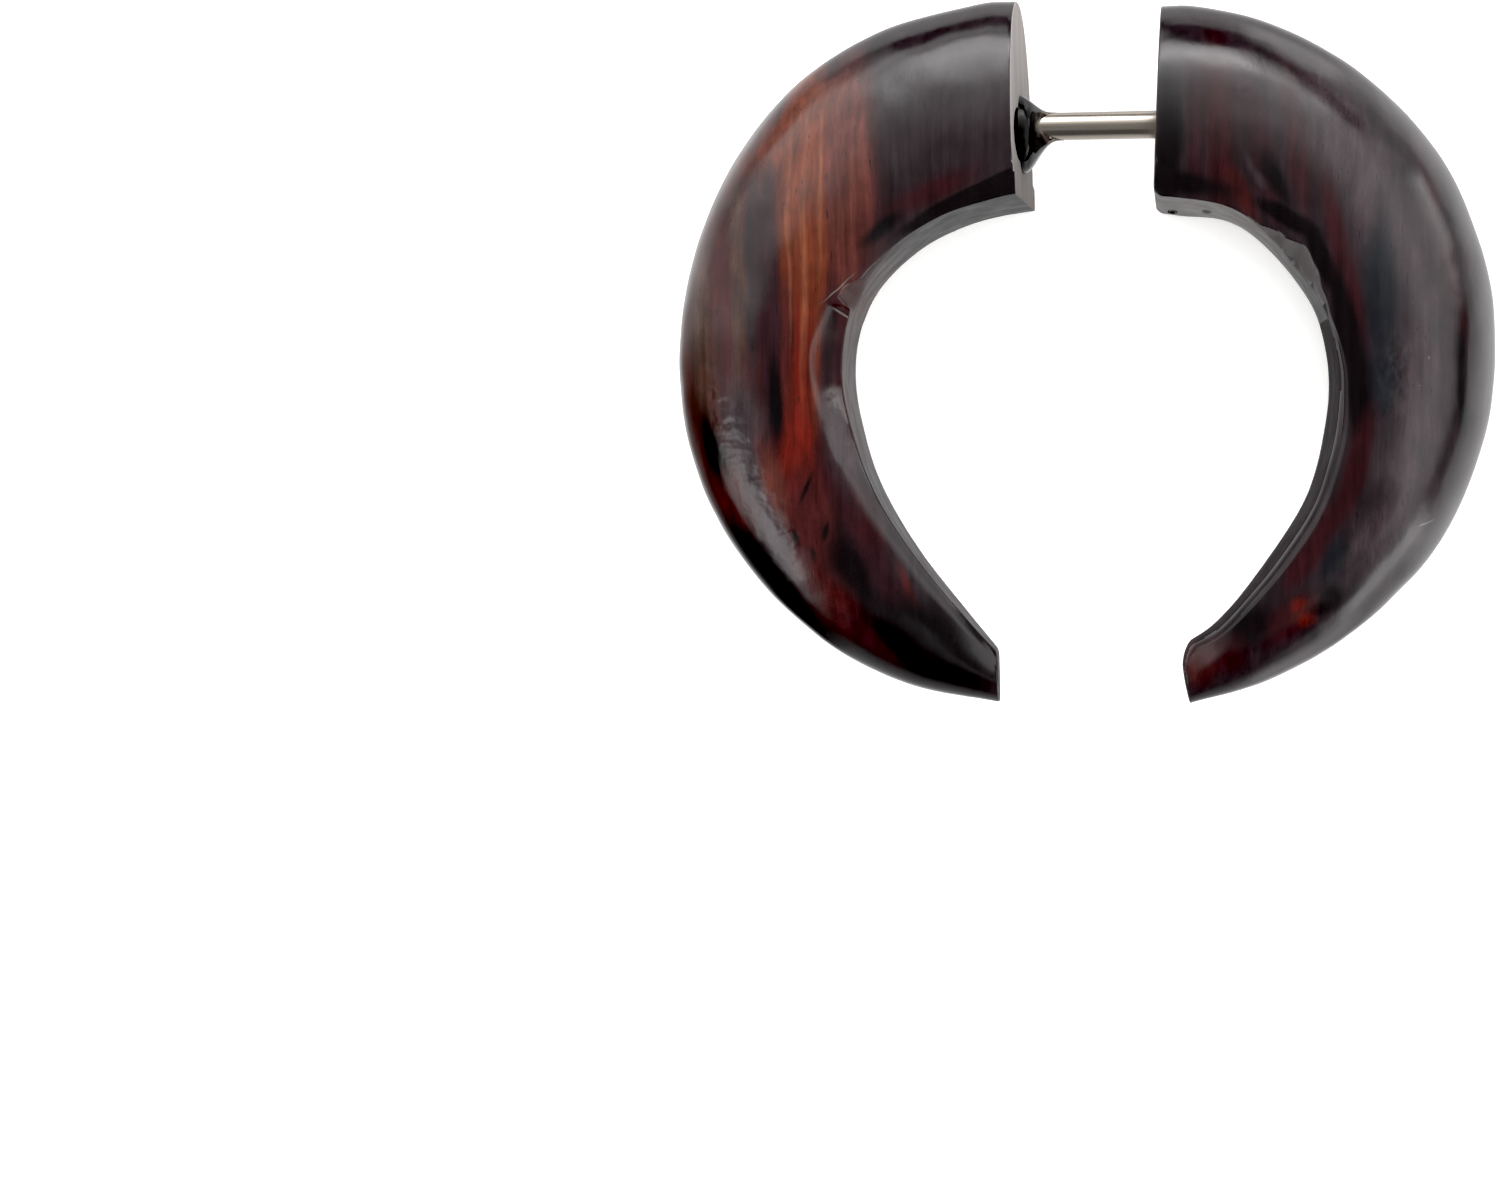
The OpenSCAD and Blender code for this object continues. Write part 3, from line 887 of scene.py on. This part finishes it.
class EARRING_OT_horns(bpy.types.Operator):
    """Carve both horns and give them their striped wood"""

    bl_idname = "earring.horns"
    bl_label = "Horns"

    def execute(self, context):
        s = context.scene.earring_horns
        # Each hole goes this far past its end of the wire
        slack = 0.4 * MM
        left_hole = POST_LOW.x - slack, LEFT.cut_x + MM, POST_R + s.left_hole_room
        right_hole = RIGHT.cut_x - MM, POST_HIGH.x + slack, POST_R + s.right_hole_room
        for horn, hole, body, node, slot in ((LEFT, left_hole, "held", "left_horn", "striped_wood"),
                                             (RIGHT, right_hole, "slider", "right_horn", "dark_wood")):
            bm = swept_horn(horn, s)
            weather(bm, horn, s)
            piece = bored(as_object(f"{node}_carved", bm), *hole, horn.pits)
            finish_horn(piece, horn, s)
            shade(piece, 50)
            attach(piece, body)
            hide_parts(node)
        smear(bpy.data.materials[f"sawn_{LEFT.wood}"], s)
        return {"FINISHED"}


def drawn_steel(s):
    """Steel wire drawn through a die: a bright line along it, broken by fine draw marks"""
    material, tree, shader = new_material("drawn_steel", {"Metallic": 1.0, "Roughness": 0.22})
    # The marks are 0.04 mm wide. Real ones are several times finer and wouldn't show.
    marks = streaks(tree, in_millimetres(tree), (0.3, 26, 26), 2.0, 5)
    bright, dark = (*s.steel, 1), (*[channel * 0.6 for channel in s.steel], 1)
    colour = add_node(tree, "Mix", {0: marks, 6: bright, 7: dark}, 2, data_type="RGBA")
    tree.links.new(colour, shader.inputs["Base Color"])
    bump = add_node(tree, "Bump", {"Height": marks, "Strength": 0.3, "Distance": 0.004 * MM})
    tree.links.new(bump, shader.inputs["Normal"])
    return material


class EARRING_OT_post(bpy.types.Operator):
    """Draw the steel wire that joins the horns"""

    bl_idname = "earring.post"
    bl_label = "Post"

    def execute(self, context):
        s = context.scene.earring_post
        bm = bmesh.new()
        wire_shape(bm, POST_LOW.x, POST_HIGH.x, POST_R, s.sides)
        rims = [e for e in bm.edges if abs(e.verts[0].co.x - e.verts[1].co.x) < 1e-7]
        bmesh.ops.bevel(bm, geom=rims, offset=s.chamfer, segments=3, profile=0.5, affect="EDGES", material=-1)
        post = as_object("post_wire", bm)
        shade(post, 40)
        post.data.materials.append(drawn_steel(s))
        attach(post, "held")
        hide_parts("post")
        return {"FINISHED"}


def black_epoxy(s):
    """Cured black epoxy: smooth and wet black, with the steel showing through its thin edge"""
    # Its sheen is set weak, because in the photo the gap shades it
    material, tree, shader = new_material(
        "cured_black_epoxy", {"IOR": 1.52, "Specular IOR Level": 0.18, "Roughness": 0.08})
    place = in_millimetres(tree)
    clouds = streaks(tree, place, (1.4, 1.4, 1.4), 2.0, 1)
    dark, pale = (*s.resin, 1), (*[channel * 1.5 for channel in s.resin], 1)
    colour = add_node(tree, "Mix", {0: clouds, 6: dark, 7: pale}, 2, data_type="RGBA")
    radius = POST_R / MM
    local = add_node(tree, "VectorMath", {0: place, 1: POST_AXIS / MM}, operation="SUBTRACT")
    local = add_node(tree, "VectorMath", {0: local, 1: (0, 1, 1)}, operation="MULTIPLY")
    away = add_node(tree, "VectorMath", {0: local}, "Value", operation="LENGTH")
    thin = add_node(tree, "MapRange", {0: away, 1: radius + 0.05, 2: radius + 0.3, 3: 1, 4: 0}, **SMOOTH)
    colour = add_node(tree, "Mix", {0: thin, 6: colour, 7: (*s.film, 1)}, 2, data_type="RGBA")
    tree.links.new(colour, shader.inputs["Base Color"])
    tree.links.new(thin, shader.inputs["Metallic"])
    bump = add_node(tree, "Bump", {"Height": clouds, "Strength": 0.4, "Distance": 0.03 * MM})
    tree.links.new(bump, shader.inputs["Normal"])
    return material


class EARRING_OT_glue(bpy.types.Operator):
    """Run the black glue round the wire, with its hanging drip"""

    bl_idname = "earring.glue"
    bl_label = "Glue"

    def execute(self, context):
        s = context.scene.earring_glue
        bm = bmesh.new()
        segments, steps = 72, 18
        angles = [2 * math.pi * i / segments for i in range(segments)]
        hair = 0.01 * MM
        wire = POST_R + hair

        def glue_point(angle, r, x):
            """The point at an angle and a radius round the post, and at a distance from the left cut"""
            point = POST_AXIS + Vector((LEFT.cut_x, r * math.cos(angle), r * math.sin(angle)))
            return on_cut(point, LEFT) + Vector((x, 0, 0))

        # The outer side runs from the cut down to the wire, and the inner wall back along the wire
        rings = []
        for k in range(steps + 1):
            t = k / steps
            points = []
            for angle in angles:
                # How much the angle has of the hanging run, and of the round bead over the wire
                low = ((1 - math.cos(angle)) / 2) ** 1.6
                bead = max(0.0, math.sin(angle)) ** 1.5
                reach = s.top_reach + (s.drip_reach - s.top_reach) * low
                creep = s.top_creep + (s.drip_creep - s.top_creep) * low
                creep += (s.bead_creep - creep) * bead
                hollow = (s.hollow + 1.5 * low) * (1 - bead) + 0.5 * bead
                r = wire + (reach - wire) * (1 - t ** (1 + s.belly * low + 2 * bead)) ** hollow
                points.append(glue_point(angle, r, hair + creep * t))
            rings.append(points)
        rings += [[glue_point(angle, wire, x) for angle in angles] for x in (0.6 * MM, hair)]
        edges = [ring_edges(add_ring(bm, points)) for points in rings]
        for one, other in zip(edges, edges[1:] + edges[:1]):
            bmesh.ops.bridge_loops(bm, edges=one + other)
        bmesh.ops.recalc_face_normals(bm, faces=bm.faces)
        glue = as_object("glue_collar", bm)
        shade(glue, 60)
        glue.data.materials.append(black_epoxy(s))
        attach(glue, "held")
        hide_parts("glue_bead")
        return {"FINISHED"}


def by_elevation(tree, height, stops):
    """Brightness by elevation, as a share of the one furthest from zero, and that one"""
    most = max((value for _, value in stops), key=abs)
    share = add_node(tree, "MapRange", {0: height, 1: -1, 2: 1})
    greys = [((math.sin(math.radians(angle)) + 1) / 2, [value / most] * 3) for angle, value in stops]
    return add_node(tree, "ValToRGB", {"Fac": share}, "Color", greys), most


def soft_room(s):
    """A room with a bright and a dark side, its windows, a hazy ceiling and light from below"""
    world = bpy.data.worlds.new("soft_room")
    world.use_nodes = True
    tree = world.node_tree
    direction = add_node(tree, "TexCoord", output="Generated")
    height = add_node(tree, "SeparateXYZ", {0: direction}, "Z")
    # The bright side, which fades into the dark one
    turn = math.radians(ROOM_AZIMUTH)
    to_bright = (math.cos(turn), math.sin(turn), 0)
    side = add_node(tree, "VectorMath", {0: direction, 1: to_bright}, "Value", operation="DOT_PRODUCT")
    bright, most = by_elevation(tree, height, ROOM)
    dark, lit = ROOM_FADE
    half = add_node(tree, "MapRange", {0: side, 1: dark, 2: lit, 3: 0, 4: most}, **SMOOTH)
    total = add_node(tree, "Math", {0: bright, 1: half}, operation="MULTIPLY")
    # The windows and dark places, each by how far a direction is off its azimuth
    for azimuth, half_width, soft, stops in GLOWS:
        ahead = add_node(tree, "VectorRotate", {"Vector": direction, "Angle": -math.radians(azimuth)},
                         rotation_type="Z_AXIS")
        x = add_node(tree, "SeparateXYZ", {0: ahead}, "X")
        y = add_node(tree, "SeparateXYZ", {0: ahead}, "Y")
        angle = add_node(tree, "Math", {0: y, 1: x}, operation="ARCTAN2")
        angle = add_node(tree, "Math", {0: angle}, operation="ABSOLUTE")
        bright, most = by_elevation(tree, height, stops)
        near, far = math.radians(half_width), math.radians(half_width + soft)
        edge = add_node(tree, "MapRange", {0: angle, 1: near, 2: far, 3: most, 4: 0}, **SMOOTH)
        total = add_node(tree, "Math", {0: bright, 1: edge, 2: total}, operation="MULTIPLY_ADD")
    total = add_node(tree, "Math", {0: total, 1: 0.0}, operation="MAXIMUM")
    # The haze of the ceiling and the light from below
    clear, hazy = HAZE_IN
    haze = add_node(tree, "MapRange", {0: height, 1: clear, 2: hazy, 3: 0, 4: s.haze}, **SMOOTH)
    total = add_node(tree, "Math", {0: total, 1: haze}, operation="ADD")
    under, over = FLOOR_OUT
    floor_share = add_node(tree, "MapRange", {0: height, 1: under, 2: over, 3: 1, 4: 0}, **SMOOTH)
    total = add_node(tree, "Mix", {0: floor_share, 2: total, 3: 1.0})
    # What the camera sees past the floor
    rays = add_node(tree, "LightPath", output="Is Camera Ray")
    backdrop = tree.nodes["Background"]
    seen = add_node(tree, "Mix", {0: rays, 2: total, 3: ROOM_SEEN})
    tree.links.new(seen, backdrop.inputs["Color"])
    backdrop.inputs["Strength"].default_value = s.room
    return world


class EARRING_OT_stage(bpy.types.Operator):
    """Lay the pale floor, light it softly and hang the camera over it"""

    bl_idname = "earring.stage"
    bl_label = "Stage"

    def execute(self, context):
        s = context.scene.earring_stage
        bm = bmesh.new()
        below = Matrix.Translation((0, 0, -0.01 * MM))
        bmesh.ops.create_grid(bm, x_segments=1, y_segments=1, size=4, matrix=below)
        floor = as_object("floor", bm)
        # Matt card lit a little from below: white, without a shine and with faint shadows. The polish
        # doesn't mirror it, because the lower half of the room already holds the floor's light.
        white = (*s.floor, 1)
        material, _, _ = new_material("matt_white_card", {
            "Base Color": white, "Roughness": 0.9, "IOR": 1.4, "Emission Color": white,
            "Emission Strength": s.glow})
        floor.data.materials.append(material)
        floor.visible_glossy = False

        # The lamp lights the colours alone, and the room gives the polish what it mirrors
        lamp = bpy.data.lights.new("overhead_lamp", "AREA")
        lamp.shape, lamp.size, lamp.energy = "DISK", 0.6, s.overhead
        lamp_object = bpy.data.objects.new("overhead_lamp", lamp)
        lamp_object.location = (0, 0, 0.5)
        lamp_object.visible_glossy = False
        context.scene.collection.objects.link(lamp_object)
        context.scene.world = soft_room(s)

        # The camera hangs nearly straight above and looks at the middle of the photo, which is to the
        # left of the earring's middle and below it
        lens = bpy.data.cameras.new("overhead")
        lens.lens, lens.sensor_width = s.lens, 36
        lens.clip_start, lens.clip_end = 0.005, 10
        camera = bpy.data.objects.new("overhead", lens)
        context.scene.collection.objects.link(camera)
        stand = Vector((0.5 * MM, -5.57 * MM, s.camera_height))
        target = Vector((-15.0 * MM, -10.38 * MM, 0))
        back = (stand - target).normalized()
        up = back.cross(Vector((1, 0, 0))).normalized()
        turned = Matrix((up.cross(back), up, back)).transposed().to_4x4()
        camera.matrix_world = Matrix.Translation(stand) @ turned
        context.scene.camera = camera
        view = context.scene.view_settings
        view.view_transform = "Standard"
        view.use_curve_mapping = True
        view.curve_mapping.black_level = [s.black_point] * 3
        view.curve_mapping.update()
        return {"FINISHED"}


class EARRING_PT_panel(bpy.types.Panel):
    """Buttons for the pieces and the stage, with their sizes and colours"""

    bl_idname = "EARRING_PT_panel"
    bl_label = "Fake Gauge Earring"
    bl_space_type = "VIEW_3D"
    bl_region_type = "UI"
    bl_category = "Earring"

    def draw(self, context):
        for operator, group in STEPS:
            box = self.layout.box()
            box.operator(operator.bl_idname)
            settings = getattr(context.scene, group)
            for name in settings.__annotations__:
                box.prop(settings, name)


GROUPS = {
    "earring_horns": HornSettings,
    "earring_post": PostSettings,
    "earring_glue": GlueSettings,
    "earring_stage": StageSettings,
}
STEPS = [
    (EARRING_OT_horns, "earring_horns"),
    (EARRING_OT_post, "earring_post"),
    (EARRING_OT_glue, "earring_glue"),
    (EARRING_OT_stage, "earring_stage"),
]


def register():
    """Register the settings, operators and panel"""
    for name, group in GROUPS.items():
        bpy.utils.register_class(group)
        setattr(bpy.types.Scene, name, PointerProperty(type=group))
    for operator, _ in STEPS:
        bpy.utils.register_class(operator)
    bpy.utils.register_class(EARRING_PT_panel)


def unregister():
    """Take back what register added"""
    bpy.utils.unregister_class(EARRING_PT_panel)
    for operator, _ in reversed(STEPS):
        bpy.utils.unregister_class(operator)
    for name, group in GROUPS.items():
        delattr(bpy.types.Scene, name)
        bpy.utils.unregister_class(group)


def main():
    """Build every piece and the stage"""
    register()
    bpy.ops.earring.horns()
    bpy.ops.earring.post()
    bpy.ops.earring.glue()
    bpy.ops.earring.stage()


if __name__ == "__main__":
    main()
